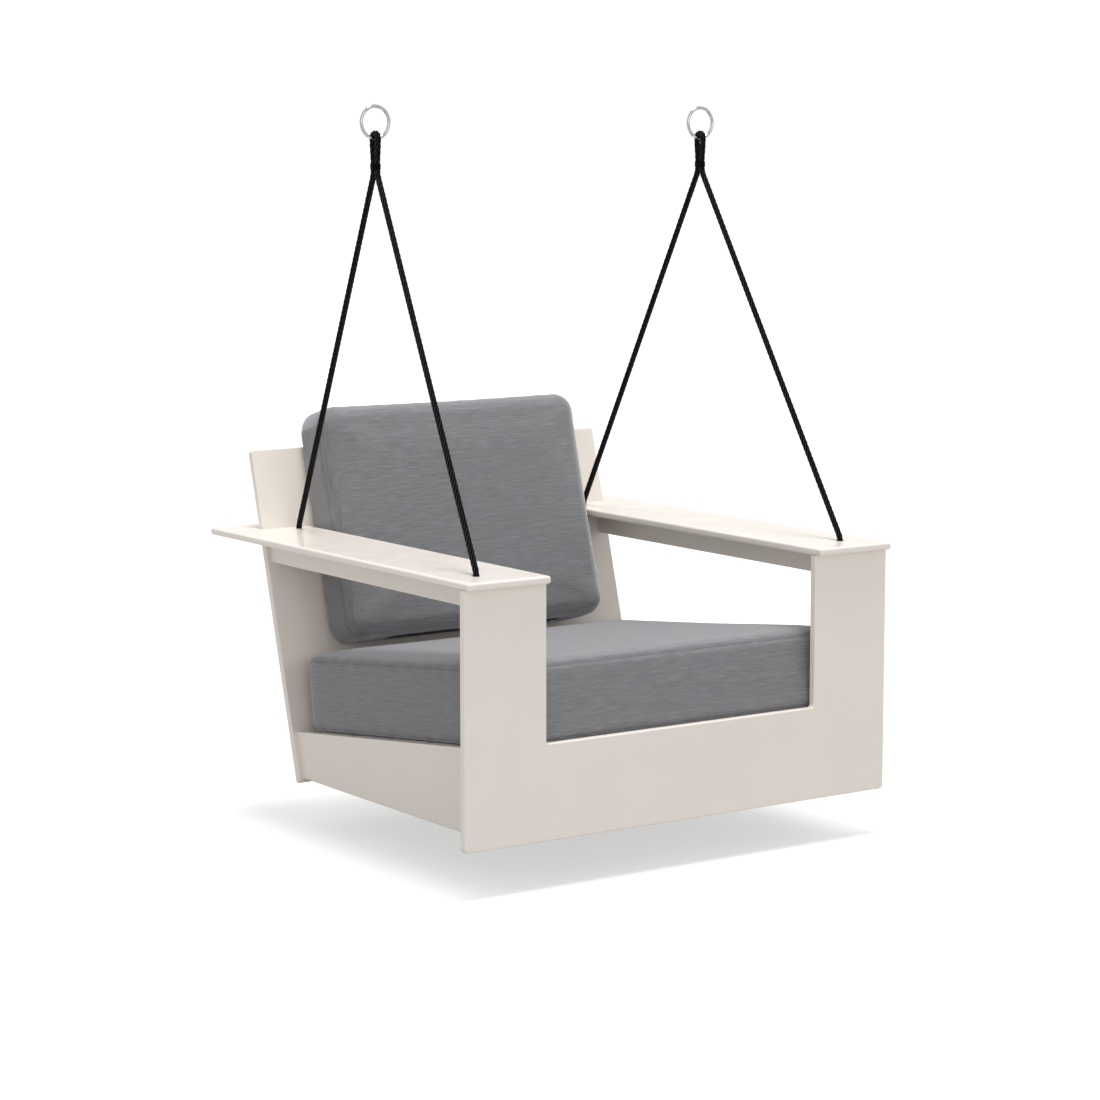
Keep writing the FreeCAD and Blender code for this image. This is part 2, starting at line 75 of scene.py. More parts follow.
def add(tree, kind, settings=None, links=None):
    """A node with its settings (properties or input sockets) and its links."""
    node = tree.nodes.new(kind)
    for key, value in (settings or {}).items():
        if isinstance(key, str) and hasattr(node, key):
            setattr(node, key, value)
        else:
            node.inputs[key].default_value = value
    for key, source in (links or {}).items():
        tree.links.new(source, node.inputs[key])
    return node


def new_material(name):
    """An empty material, its tree and its output node."""
    made = bpy.data.materials.new(name)
    made.use_nodes = True
    made.node_tree.nodes.clear()
    return made, made.node_tree, made.node_tree.nodes.new("ShaderNodeOutputMaterial")


def ramp_between(tree, fac, stops):
    """A colour ramp with (position, hex) stops."""
    node = add(tree, "ShaderNodeValToRGB", links={"Fac": fac})
    band = node.color_ramp
    band.elements[0].position, band.elements[0].color = stops[0][0], linear(stops[0][1])
    band.elements[1].position, band.elements[1].color = stops[-1][0], linear(stops[-1][1])
    for position, code in stops[1:-1]:
        band.elements.new(position).color = linear(code)
    return node


def polyethylene_sheet():
    """Extruded high-density polyethylene board: even cream, satin, with a faint rolled texture."""
    made, tree, out = new_material("hdpe_sheet_extruded")
    place = add(tree, "ShaderNodeTexCoord").outputs["Object"]
    cloud = add(tree, "ShaderNodeTexNoise", {"Scale": 1 / (90 * MM), "Detail": 3.0}, {"Vector": place})
    fleck = add(tree, "ShaderNodeTexNoise", {"Scale": 1 / (2.2 * MM), "Detail": 2.0}, {"Vector": place})
    mixed = add(tree, "ShaderNodeMath", {"operation": "MULTIPLY_ADD", 1: 0.25},
                {0: fleck.outputs["Fac"], 2: cloud.outputs["Fac"]})
    tone = ramp_between(tree, mixed.outputs[0], [(0.35, "#e9e1d8"), (0.62, "#eae2d9"), (0.85, "#ebe4db")])
    rolled = add(tree, "ShaderNodeTexNoise", {"Scale": 1 / (1.4 * MM), "Detail": 3.0, "Roughness": 0.6},
                 {"Vector": place})
    wavy = add(tree, "ShaderNodeTexNoise", {"Scale": 1 / (45 * MM), "Detail": 1.0}, {"Vector": place})
    gloss = add(tree, "ShaderNodeMapRange",
                {"From Min": 0.3, "From Max": 0.7, "To Min": 0.20, "To Max": 0.24},
                {"Value": wavy.outputs["Fac"]})
    fine = add(tree, "ShaderNodeBump", {"Strength": 0.10, "Distance": 0.15 * MM},
               {"Height": rolled.outputs["Fac"]})
    bump = add(tree, "ShaderNodeBump", {"Strength": 0.15, "Distance": 0.4 * MM},
               {"Height": wavy.outputs["Fac"], "Normal": fine.outputs["Normal"]})
    shader = add(tree, "ShaderNodeBsdfPrincipled", {"IOR": 1.54, "Specular IOR Level": 0.5},
                 {"Base Color": tone.outputs["Color"], "Roughness": gloss.outputs["Result"],
                  "Normal": bump.outputs["Normal"]})
    tree.links.new(shader.outputs[0], out.inputs["Surface"])
    return made


def stainless_steel(name, roughness, brushed):
    """Stainless steel: cool grey, patchy in its shine, with more grain the more it is brushed."""
    made, tree, out = new_material(name)
    place = add(tree, "ShaderNodeTexCoord").outputs["Object"]
    grain = add(tree, "ShaderNodeTexNoise", {"Scale": 1 / (0.9 * MM), "Detail": 3.0}, {"Vector": place})
    smear = add(tree, "ShaderNodeTexNoise", {"Scale": 1 / (14 * MM), "Detail": 2.0}, {"Vector": place})
    rough = add(tree, "ShaderNodeMapRange",
                {"From Min": 0.3, "From Max": 0.7, "To Min": roughness * 0.8, "To Max": roughness * 1.25},
                {"Value": smear.outputs["Fac"]})
    tone = ramp_between(tree, smear.outputs["Fac"], [(0.3, "#c9c9ca"), (0.7, "#d9d9da")])
    bump = add(tree, "ShaderNodeBump", {"Strength": brushed, "Distance": 0.05 * MM},
               {"Height": grain.outputs["Fac"]})
    shader = add(tree, "ShaderNodeBsdfPrincipled", {"Metallic": 1.0},
                 {"Base Color": tone.outputs["Color"], "Roughness": rough.outputs["Result"],
                  "Normal": bump.outputs["Normal"]})
    tree.links.new(shader.outputs[0], out.inputs["Surface"])
    return made


def woven_acrylic(name, dark, mid, light):
    """Spun acrylic canvas: a plain weave with slubs, the thicker lengths of yarn that show as streaks."""
    made, tree, out = new_material(name)
    cloth = add(tree, "ShaderNodeUVMap", {"uv_map": "cloth"}).outputs["UV"]
    # Slubs are 20 to 60 mm long and one to two yarns thick.
    long_place = add(tree, "ShaderNodeMapping", {"Scale": (1 / (30 * MM), 1 / (1.7 * MM), 1)},
                     {"Vector": cloth})
    slub = add(tree, "ShaderNodeTexNoise", {"Scale": 1.0, "Detail": 2.5, "Roughness": 0.55},
               {"Vector": long_place.outputs[0]})
    wide_place = add(tree, "ShaderNodeMapping", {"Scale": (1 / (85 * MM), 1 / (5 * MM), 1)},
                     {"Vector": cloth})
    band = add(tree, "ShaderNodeTexNoise", {"Scale": 1.0, "Detail": 2.0}, {"Vector": wide_place.outputs[0]})
    streak = add(tree, "ShaderNodeMath", {"operation": "MULTIPLY_ADD", 1: 0.45},
                 {0: band.outputs["Fac"], 2: slub.outputs["Fac"]})
    # The yarns are 0.8 mm apart; they are drawn at 1.3 mm, which is as fine as can be seen.
    yarn_place = add(tree, "ShaderNodeMapping", {"Scale": (1 / (1.3 * MM), 1 / (1.3 * MM), 1)},
                     {"Vector": cloth})
    parts = add(tree, "ShaderNodeSeparateXYZ", links={0: yarn_place.outputs[0]})
    warp = add(tree, "ShaderNodeMath", {"operation": "MULTIPLY", 1: 2 * math.pi}, {0: parts.outputs[0]})
    weft = add(tree, "ShaderNodeMath", {"operation": "MULTIPLY", 1: 2 * math.pi}, {0: parts.outputs[1]})
    warp_wave = add(tree, "ShaderNodeMath", {"operation": "SINE"}, {0: warp.outputs[0]})
    weft_wave = add(tree, "ShaderNodeMath", {"operation": "SINE"}, {0: weft.outputs[0]})
    weave = add(tree, "ShaderNodeMath", {"operation": "MULTIPLY"},
                {0: warp_wave.outputs[0], 1: weft_wave.outputs[0]})
    tone = ramp_between(tree, streak.outputs[0], [(0.45, dark), (0.72, mid), (1.0, light)])
    shade = add(tree, "ShaderNodeMapRange",
                {"From Min": -1.0, "From Max": 1.0, "To Min": 0.93, "To Max": 1.05},
                {"Value": weave.outputs[0]})
    colour = add(tree, "ShaderNodeVectorMath", {"operation": "SCALE"},
                 {0: tone.outputs["Color"], "Scale": shade.outputs["Result"]})
    relief = add(tree, "ShaderNodeMath", {"operation": "MULTIPLY_ADD", 1: 1.6},
                 {0: streak.outputs[0], 2: weave.outputs[0]})
    bump = add(tree, "ShaderNodeBump", {"Strength": 0.45, "Distance": 0.25 * MM},
               {"Height": relief.outputs[0]})
    # The fuzz of the spun yarn makes the cloth pale where it is seen edge on.
    shader = add(tree, "ShaderNodeBsdfPrincipled",
                 {"Roughness": 0.85, "Sheen Weight": 1.0, "Sheen Roughness": 0.36,
                  "Sheen Tint": linear("#fafaff"), "IOR": 1.48, "Specular IOR Level": 0.25},
                 {"Base Color": colour.outputs[0], "Normal": bump.outputs["Normal"]})
    tree.links.new(shader.outputs[0], out.inputs["Surface"])
    return made


def laid_yarn(name, dark, light, strand_highlight):
    """Polyester filament laid in strands: near-black and dull, with a painted highlight along each strand.
    """
    made, tree, out = new_material(name)
    strand = add(tree, "ShaderNodeUVMap", {"uv_map": "strand"}).outputs["UV"]
    parts = add(tree, "ShaderNodeSeparateXYZ", links={0: strand})
    # The yarns cross the strand, eight round it, one turn in 16 mm.
    slant = add(tree, "ShaderNodeMath", {"operation": "MULTIPLY_ADD", 1: 1 / (16 * MM)},
                {0: parts.outputs[1], 2: parts.outputs[0]})
    phase = add(tree, "ShaderNodeMath", {"operation": "MULTIPLY", 1: 2 * math.pi * 8}, {0: slant.outputs[0]})
    yarn = add(tree, "ShaderNodeMath", {"operation": "SINE"}, {0: phase.outputs[0]})
    fuzz = add(tree, "ShaderNodeTexNoise", {"Scale": 1 / (2.5 * MM), "Detail": 3.0},
               {"Vector": add(tree, "ShaderNodeTexCoord").outputs["Object"]})
    mixed = add(tree, "ShaderNodeMath", {"operation": "MULTIPLY_ADD", 1: 0.08},
                {0: yarn.outputs[0], 2: fuzz.outputs["Fac"]})
    tone = ramp_between(tree, mixed.outputs[0], [(0.42, dark), (0.72, light)])
    # Painted highlight: a lighter stripe at one place round each strand, broken up by the fuzz.
    off = add(tree, "ShaderNodeMath", {"operation": "SUBTRACT", 1: 0.13}, {0: parts.outputs[0]})
    away = add(tree, "ShaderNodeMath", {"operation": "ABSOLUTE"}, {0: off.outputs[0]})
    highlight_stripe = add(tree, "ShaderNodeMapRange",
                 {"From Min": 0.025, "From Max": 0.04, "To Min": 1.0, "To Max": 0.0},
                 {"Value": away.outputs[0]})
    broken_highlight = add(tree, "ShaderNodeMath", {"operation": "MULTIPLY"},
                 {0: highlight_stripe.outputs["Result"], 1: fuzz.outputs["Fac"]})
    colour = add(tree, "ShaderNodeMix", {"data_type": "RGBA", 7: linear(strand_highlight)},
                 {0: broken_highlight.outputs[0], 6: tone.outputs["Color"]})
    bump = add(tree, "ShaderNodeBump", {"Strength": 0.5, "Distance": 0.25 * MM}, {"Height": yarn.outputs[0]})
    shader = add(tree, "ShaderNodeBsdfPrincipled",
                 {"Roughness": 0.6, "IOR": 1.5, "Specular IOR Level": 0.08},
                 {"Base Color": colour.outputs[2], "Normal": bump.outputs["Normal"]})
    tree.links.new(shader.outputs[0], out.inputs["Surface"])
    return made


def spun_thread(name, dark, light, roughness):
    """Bonded polyester: sewing thread, zip coil and tape, told apart by colour and shine."""
    made, tree, out = new_material(name)
    place = add(tree, "ShaderNodeTexCoord").outputs["Object"]
    grain = add(tree, "ShaderNodeTexNoise", {"Scale": 1 / (0.8 * MM), "Detail": 2.0}, {"Vector": place})
    tone = ramp_between(tree, grain.outputs["Fac"], [(0.35, dark), (0.65, light)])
    bump = add(tree, "ShaderNodeBump", {"Strength": 0.4, "Distance": 0.1 * MM},
               {"Height": grain.outputs["Fac"]})
    shader = add(tree, "ShaderNodeBsdfPrincipled", {"Roughness": roughness, "IOR": 1.5},
                 {"Base Color": tone.outputs["Color"], "Normal": bump.outputs["Normal"]})
    tree.links.new(shader.outputs[0], out.inputs["Surface"])
    return made


board = polyethylene_sheet()
polished = stainless_steel("stainless_wire_polished", 0.12, 0.15)
brushed = stainless_steel("stainless_hardware_brushed", 0.30, 0.6)
grey_cloth = woven_acrylic("acrylic_canvas_grey", "#717174", "#7d7d80", "#8d8d91")
# The last colour of the rope and of the twine is their painted highlight.
black_rope = laid_yarn("polyester_rope_laid", "#020202", "#07080a", "#6c6c6a")
black_twine = laid_yarn("polyester_twine_waxed", "#020202", "#08090a", "#0e0f10")
grey_thread = spun_thread("polyester_thread_grey", "#4c4c4f", "#5f5f63", 0.6)
zip_tape = spun_thread("polyester_zip_tape", "#3f4043", "#4c4d50", 0.8)
zip_coil = spun_thread("nylon_zip_coil", "#2a2b2d", "#3a3b3d", 0.4)

# Finishes of the frame's own nodes: board for the sheets and their capped nuts, steel for the rest.
STEEL_WORDS = ("screws", "studs", "angle", "washer")
BOARD_WORDS = ("panel", "armrest", "apron", "rail", "cleat", "slat", "barrel_nuts")
for name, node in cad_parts.items():
    if any(word in name for word in BOARD_WORDS) and not any(word in name for word in STEEL_WORDS):
        finish = board
    elif name.startswith("ring"):
        finish = polished
    else:
        finish = brushed
    for index in range(len(node.material_slots)):
        node.material_slots[index].material = finish


def add_piece(name, points, faces, finish, smooth=True):
    """A mesh object at the origin."""
    mesh = bpy.data.meshes.new(name)
    mesh.from_pydata([tuple(p) for p in points], [], faces)
    mesh.materials.append(finish)
    mesh.polygons.foreach_set("use_smooth", [smooth] * len(mesh.polygons))
    piece = bpy.data.objects.new(name, mesh)
    scene.collection.objects.link(piece)
    return piece


def evaluated_copy(piece, name):
    """A piece's mesh with its modifiers applied."""
    bpy.context.view_layer.update()
    made = bpy.data.meshes.new_from_object(piece.evaluated_get(bpy.context.evaluated_depsgraph_get()))
    made.name = name
    return made


def distances_along(points):
    """Each point's distance from the first, along the line."""
    return np.concatenate([[0], np.cumsum(np.linalg.norm(np.diff(points, axis=0), axis=1))])


def spread(points, step):
    """The same line with points a fixed step apart."""
    points = np.asarray(points, float)
    reach = distances_along(points)
    keep = np.concatenate([[True], np.diff(reach) > 1e-9])
    count = max(3, int(round(reach[-1] / step)) + 1)
    at = np.linspace(0, reach[-1], count)
    return np.stack([np.interp(at, reach[keep], points[keep][:, i]) for i in range(3)], 1)


def cross_directions(points, closed=False, lead=None):
    """Two directions across a line, which keep to a lead direction or else don't twist about it."""
    ahead = np.roll(points, -1, 0) - np.roll(points, 1, 0)
    if not closed:
        ahead[0], ahead[-1] = points[1] - points[0], points[-1] - points[-2]
    ahead /= np.linalg.norm(ahead, axis=1)[:, None]
    if lead is not None:
        sides = lead - ahead * (ahead * lead).sum(1)[:, None]
        sides /= np.linalg.norm(sides, axis=1)[:, None]
        return sides, np.cross(ahead, sides)
    side = np.cross(ahead[0], (0.0, 1.0, 0.0) if abs(ahead[0][1]) < 0.8 else (1.0, 0.0, 0.0))
    side /= np.linalg.norm(side)
    sides = [side]
    for t in ahead[1:]:
        side = side - t * side.dot(t)
        side /= np.linalg.norm(side)
        sides.append(side)
    sides = np.array(sides)
    return sides, np.cross(ahead, sides)


def tube(points, radius, ring, closed=False, lead=None):
    """Points, faces and strand coordinates of a round tube along a line."""
    points = np.asarray(points, float)
    sides, ups = cross_directions(points, closed, lead)
    n = len(points)
    angle = np.arange(ring) * 2 * np.pi / ring
    wall = (points[:, None, :] + radius * (np.cos(angle)[None, :, None] * sides[:, None, :]
                                           + np.sin(angle)[None, :, None] * ups[:, None, :])).reshape(-1, 3)
    step = np.linalg.norm(np.diff(points, axis=0), axis=1)
    reach = distances_along(points)
    faces, uvs = [], []
    for i in range(n if closed else n - 1):
        j = (i + 1) % n
        low, high = reach[i], reach[i] + (step[i] if i < len(step) else step[-1])
        for k in range(ring):
            m = (k + 1) % ring
            faces.append((i * ring + k, i * ring + m, j * ring + m, j * ring + k))
            uvs += [(k / ring, low), ((k + 1) / ring, low), ((k + 1) / ring, high), (k / ring, high)]
    if not closed:
        faces.append(tuple(range(ring))[::-1])
        faces.append(tuple((n - 1) * ring + k for k in range(ring)))
        uvs += [(k / ring, 0.0) for k in range(ring)] + [(k / ring, reach[-1]) for k in range(ring)]
    return wall, faces, uvs


def tubes_piece(name, tubes, finish):
    """One mesh of several tubes, with their strand coordinates as a UV map."""
    points, faces, uvs = [], [], []
    for wall, walls, strand in tubes:
        faces += [tuple(i + len(points) for i in face) for face in walls]
        points += list(wall)
        uvs += strand
    piece = add_piece(name, points, faces, finish)
    layer = piece.data.uv_layers.new(name="strand")
    layer.data.foreach_set("uv", np.array(uvs, float).ravel())
    return piece


def twisted(points, offset, pitch, count):
    """Lines of several strands laid round a centre line, and the ways out from that line."""
    points = np.asarray(points, float)
    sides, ups = cross_directions(points)
    reach = distances_along(points)
    outs = []
    for k in range(count):
        turn = 2 * np.pi * (reach / pitch + k / count)
        outs.append(np.cos(turn)[:, None] * sides + np.sin(turn)[:, None] * ups)
    return [points + offset * out for out in outs], outs


# Ropes: from the front knot up to the ring, over its wire and down to the rear knot.
STRANDS = 6
STRAND_R = 1.8 * MM
STRAND_SIDES = 8
STRAND_OFFSET = 3.3 * MM
LAY = 60 * MM
RING_X = 327.2 * MM
NECK_HALF = 5.15 * MM
BIGHT_HALF = 8.2 * MM
# Heights of a rope's places: knot, bend above the arm, fork, the neck's top, the bight's foot and top.
KNOT_Z, BEND_Z, FORK_Z = -727.0 * MM, -709.7 * MM, -104.8 * MM
NECK_Z, BIGHT_FOOT_Z, BIGHT_TOP_Z = -84.75 * MM, -56.75 * MM, -40.55 * MM


def part_way(start, end, distance):
    """The place a distance along from one place to another."""
    way = np.array(end) - np.array(start)
    return tuple(np.array(start) + way * distance / np.linalg.norm(way))


def leg_route(hole_x, hole_y, way):
    """Control points of a left leg from its knot to the bight; way is -1 in front and 1 at the rear."""
    bend = (hole_x, hole_y, BEND_Z)
    fork = (-RING_X, way * NECK_HALF, FORK_Z)
    return [
        (hole_x, hole_y, KNOT_Z), bend, part_way(bend, fork, 17 * MM), part_way(fork, bend, 20 * MM),
        fork, (-RING_X, way * NECK_HALF, NECK_Z), (-RING_X, way * BIGHT_HALF, BIGHT_FOOT_Z),
        (-RING_X, way * BIGHT_HALF, BIGHT_TOP_Z),
    ]


left_route = leg_route(-362.5 * MM, -345.8 * MM, -1) + leg_route(-299.2 * MM, 307.5 * MM, 1)[::-1]


def route_line(name, route):
    """Points of the smooth line that a rope's route gives."""
    curve = bpy.data.curves.new(name, "CURVE")
    curve.dimensions = "3D"
    curve.resolution_u = 24
    spline = curve.splines.new("NURBS")
    spline.points.add(len(route) - 1)
    for point, at in zip(spline.points, route):
        point.co = (*at, 1.0)
    spline.order_u = 3
    spline.use_endpoint_u = True
    holder = bpy.data.objects.new(name, curve)
    scene.collection.objects.link(holder)
    points = [v.co.copy() for v in evaluated_copy(holder, name).vertices]
    bpy.data.objects.remove(holder)
    # The curve repeats a few points, which are left out.
    return [tuple(p) for i, p in enumerate(points) if i == 0 or (p - points[i - 1]).length > 0.01 * MM]


def laid_strands(line):
    """Tubes of the strands laid round a line."""
    return [tube(strand, STRAND_R, STRAND_SIDES, lead=out)
            for strand, out in zip(*twisted(line, STRAND_OFFSET, LAY, STRANDS))]


def stopper_knot(name, top):
    """A woven stopper knot with the rope's tail below it, whose cut end is melted flat."""
    strand_r = 2.4 * MM
    ring_r, ring_swing, half_height = 6.7 * MM, 1.55 * MM, 6.6 * MM
    centre = np.array(top) + np.array((0, 0, -10.0 * MM))
    s = np.linspace(0, 2 * np.pi, 241)[:-1]
    radius = ring_r + ring_swing * np.sin(8 * s)
    woven = centre + np.stack(
        [radius * np.cos(3 * s), radius * np.sin(3 * s), half_height * np.cos(4 * s)], 1)
    tail = [np.array(top) + np.array((0, 0, z)) for z in np.linspace(-1.5 * MM, -33.5 * MM, 17)]
    tubes = [tube(woven, strand_r, STRAND_SIDES, closed=True)] + laid_strands(tail)
    piece = tubes_piece(name, tubes, black_rope)
    melted = Matrix.Translation(Vector(top) + Vector((0, 0, -34.2 * MM)))
    bm = bmesh.new()
    bm.from_mesh(piece.data)
    bmesh.ops.create_cone(bm, cap_ends=True, segments=24, radius1=4.4 * MM, radius2=4.9 * MM,
                          depth=1.6 * MM, matrix=melted)
    bm.to_mesh(piece.data)
    bm.free()
    piece.data.polygons.foreach_set("use_smooth", [True] * len(piece.data.polygons))
    return piece


def neck_whipping(name, x):
    """Waxed twine wound round the two parts of a rope's neck."""
    turns, points_a_turn = 10, 40
    twine_r, twine_sides = 0.55 * MM, 7
    wound_r, margin = 5.4 * MM, 0.5 * MM
    s = np.linspace(0, turns, turns * points_a_turn + 1)
    around = 2 * np.pi * s
    y = np.cos(around) * wound_r + np.clip(np.cos(around) * 3, -1, 1) * NECK_HALF
    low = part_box("rope_whipping_left")
    z = np.linspace(low[0][2] + margin, low[1][2] - margin, len(s))
    line = np.stack([x + np.sin(around) * wound_r, y, z], 1)
    return tubes_piece(name, [tube(line, twine_r, twine_sides)], black_twine)


rope_line = route_line("rope_route", left_route)
for side, sign in (("left", 1.0), ("right", -1.0)):
    line = [(x * sign, y, z) for x, y, z in rope_line]
    rope = tubes_piece("laid_rope_" + side, laid_strands(spread(line, 3.0 * MM)), black_rope)
    front_knot = stopper_knot("stopper_knot_front_" + side, line[0])
    rear_knot = stopper_knot("stopper_knot_rear_" + side, line[-1])
    whipping = neck_whipping("twine_whipping_" + side, -RING_X * sign)
    for piece, node in ((rope, "rope_"), (front_knot, "knot_front_"), (rear_knot, "knot_rear_"),
                        (whipping, "rope_whipping_")):
        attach(piece, "seat")
        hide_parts(node + side)


# Cushions.
def rounded_block(name, low, high, corner, low_edge, high_edge, upright):
    """A box rounded at its four edges along one axis, at its low rim and at its high rim."""
    bm = bmesh.new()
    bmesh.ops.create_cube(bm, size=1.0)
    for vertex in bm.verts:
        for i in range(3):
            vertex.co[i] = low[i] if vertex.co[i] < 0 else high[i]
    long_edges = [e for e in bm.edges if abs((e.verts[0].co - e.verts[1].co).normalized()[upright]) > 0.9]
    bmesh.ops.bevel(bm, geom=long_edges, offset=corner, segments=10, profile=0.5, affect="EDGES")
    for level, radius in ((low[upright], low_edge), (high[upright], high_edge)):
        rim = [e for e in bm.edges if all(abs(v.co[upright] - level) < 1e-6 for v in e.verts)]
        bmesh.ops.bevel(bm, geom=rim, offset=radius, segments=10, profile=0.5, affect="EDGES")
    mesh = bpy.data.meshes.new(name)
    bm.to_mesh(mesh)
    bm.free()
    block = bpy.data.objects.new(name, mesh)
    scene.collection.objects.link(block)
    return block


def seam_loop(low, high, corner, inset, upright, level, step):
    """A closed seam line round a rounded block, at one level along its upright axis."""
    a, b = [i for i in range(3) if i != upright]
    x0, x1, y0, y1 = low[a] + inset, high[a] - inset, low[b] + inset, high[b] - inset
    r = corner - inset
    points = []
    corners = ((x1 - r, y1 - r, 0), (x0 + r, y1 - r, 90), (x0 + r, y0 + r, 180), (x1 - r, y0 + r, 270))
    for cx, cy, start in corners:
        for angle in np.radians(np.linspace(start, start + 90, 13)):
            point = [0.0, 0.0, 0.0]
            point[a], point[b], point[upright] = cx + r * math.cos(angle), cy + r * math.sin(angle), level
            points.append(point)
    points.append(points[0])
    return spread(points, step)[:-1]


def near_lines(co, lines, reach):
    """Distance of each point to the nearest of the lines' points, and that point's place along its line."""
    stack = np.concatenate(lines)
    along = np.concatenate([np.arange(len(line)) for line in lines])
    tree = KDTree(len(stack))
    for i, point in enumerate(stack):
        tree.insert(point, i)
    tree.balance()
    distance = np.full(len(co), reach)
    place = np.zeros(len(co))
    for i, point in enumerate(co):
        hit = tree.find(point)
        if hit[2] < reach:
            distance[i], place[i] = hit[2], along[hit[1]]
    return distance, place


def coordinates(mesh):
    """A mesh's points."""
    co = np.empty(len(mesh.vertices) * 3)
    mesh.vertices.foreach_get("co", co)
    return co.reshape(-1, 3)


def set_coordinates(mesh, co):
    """Move a mesh's points."""
    mesh.vertices.foreach_set("co", np.ascontiguousarray(co).ravel())
    mesh.update()


# A firm cushion crowns by part of what its cloth could travel: mostly the evened travel, and a
# little of the cloth's own, which keeps its small wrinkles.
EVENING_ROUNDS = 25
EVENED_SHARE = 0.55
OWN_SHARE = 0.1
CLOTH_FRAMES = 20


def blow_up(block, seams, voxel, crown, pressure):
    """Remesh a block and crown its panels by air pressure between held seams; gives its points."""
    remesh = block.modifiers.new("even", "REMESH")
    remesh.mode = "VOXEL"
    remesh.voxel_size = voxel
    remesh.use_smooth_shade = True
    mesh = evaluated_copy(block, block.name)
    block.modifiers.clear()
    block.data = mesh
    start = coordinates(mesh)
    distance, _ = near_lines(start, seams, 30 * MM)
    held = block.vertex_groups.new(name="held")
    for index in np.nonzero(distance < voxel * 0.9)[0]:
        held.add([int(index)], 1.0, "REPLACE")
    cloth = block.modifiers.new("cloth", "CLOTH")
    settings = cloth.settings
    settings.quality = 6
    settings.mass = 0.3
    settings.tension_stiffness = 12.0
    settings.compression_stiffness = 12.0
    settings.shear_stiffness = 6.0
    settings.bending_stiffness = 0.6
    settings.use_pressure = True
    settings.uniform_pressure_force = pressure
    settings.vertex_group_mass = "held"
    settings.effector_weights.gravity = 0.0
    cloth.collision_settings.use_collision = False
    for number in range(1, CLOTH_FRAMES + 1):
        scene.frame_set(number)
    moved = coordinates(evaluated_copy(block, "blown"))
    block.modifiers.clear()
    block.vertex_groups.clear()
    scene.frame_set(1)
    travel = moved - start
    length = np.linalg.norm(travel, axis=1)
    travel *= (np.minimum(length, crown) / np.maximum(length, 1e-9))[:, None]
    calm = travel
    ends = np.array([edge.vertices[:] for edge in mesh.edges])
    degree = np.bincount(ends.ravel(), minlength=len(start))[:, None]
    for _ in range(EVENING_ROUNDS):
        total = np.zeros_like(calm)
        np.add.at(total, ends[:, 0], calm[ends[:, 1]])
        np.add.at(total, ends[:, 1], calm[ends[:, 0]])
        calm = 0.5 * calm + 0.5 * total / np.maximum(degree, 1)
    return start + EVENED_SHARE * calm + OWN_SHARE * travel


def finish_cover(block, co, seams, step):
    """One subdivision, then the seams' valleys and the puckers beside them; gives the points."""
    valley_width, valley_depth = 3.2 * MM, 1.5 * MM
    pucker_out, pucker_width, pucker_height = 6 * MM, 6 * MM, 0.32 * MM
    pucker_turn, pucker_drift = 7.5 * MM, 61 * MM
    set_coordinates(block.data, co)
    smooth = block.modifiers.new("smooth", "SUBSURF")
    smooth.levels = smooth.render_levels = 1
    mesh = evaluated_copy(block, block.name)
    block.modifiers.clear()
    block.data = mesh
    co = coordinates(mesh)
    normals = np.empty(len(mesh.vertices) * 3)
    mesh.vertices.foreach_get("normal", normals)
    normals = normals.reshape(-1, 3)
    distance, place = near_lines(co, seams, 40 * MM)
    valley = np.exp(-(distance / valley_width) ** 2) * valley_depth
    wave = np.sin(place * step / pucker_turn + 1.7 * np.sin(place * step / pucker_drift))
    pucker = np.exp(-((distance - pucker_out) / pucker_width) ** 2) * wave * pucker_height
    return co + normals * (pucker - valley)[:, None]


def cloth_map(mesh, upright):
    """The cloth's own coordinates in metres: along the weft, then across it, panel by panel."""
    layer = mesh.uv_layers.new(name="cloth")
    co = coordinates(mesh)
    values = np.empty((len(mesh.loops), 2))
    a, b = [i for i in range(3) if i != upright]
    for face in mesh.polygons:
        normal = face.normal
        if abs(normal[upright]) > 0.7:
            pair, shift = (a, b), 0.0
        elif abs(normal[a]) > abs(normal[b]):
            pair, shift = (b, upright), 3.1
        else:
            pair, shift = (a, upright), 7.7
        for loop in face.loop_indices:
            point = co[mesh.loops[loop].vertex_index]
            values[loop] = (point[pair[0]] + shift, point[pair[1]])
    layer.data.foreach_set("uv", values.ravel())


def dress_cover(block, co, upright):
    """Give a cover its final shape, its cloth coordinates and its cloth."""
    mesh = block.data
    set_coordinates(mesh, co)
    cloth_map(mesh, upright)
    mesh.materials.clear()
    mesh.materials.append(grey_cloth)
    mesh.polygons.foreach_set("use_smooth", [True] * len(mesh.polygons))


def set_by_name(modifier, tree, values):
    """Give a modifier's inputs their values through the sockets' identifiers."""
    for item in tree.interface.items_tree:
        if item.item_type == "SOCKET" and item.in_out == "INPUT" and item.name in values:
            modifier[item.identifier] = values[item.name]


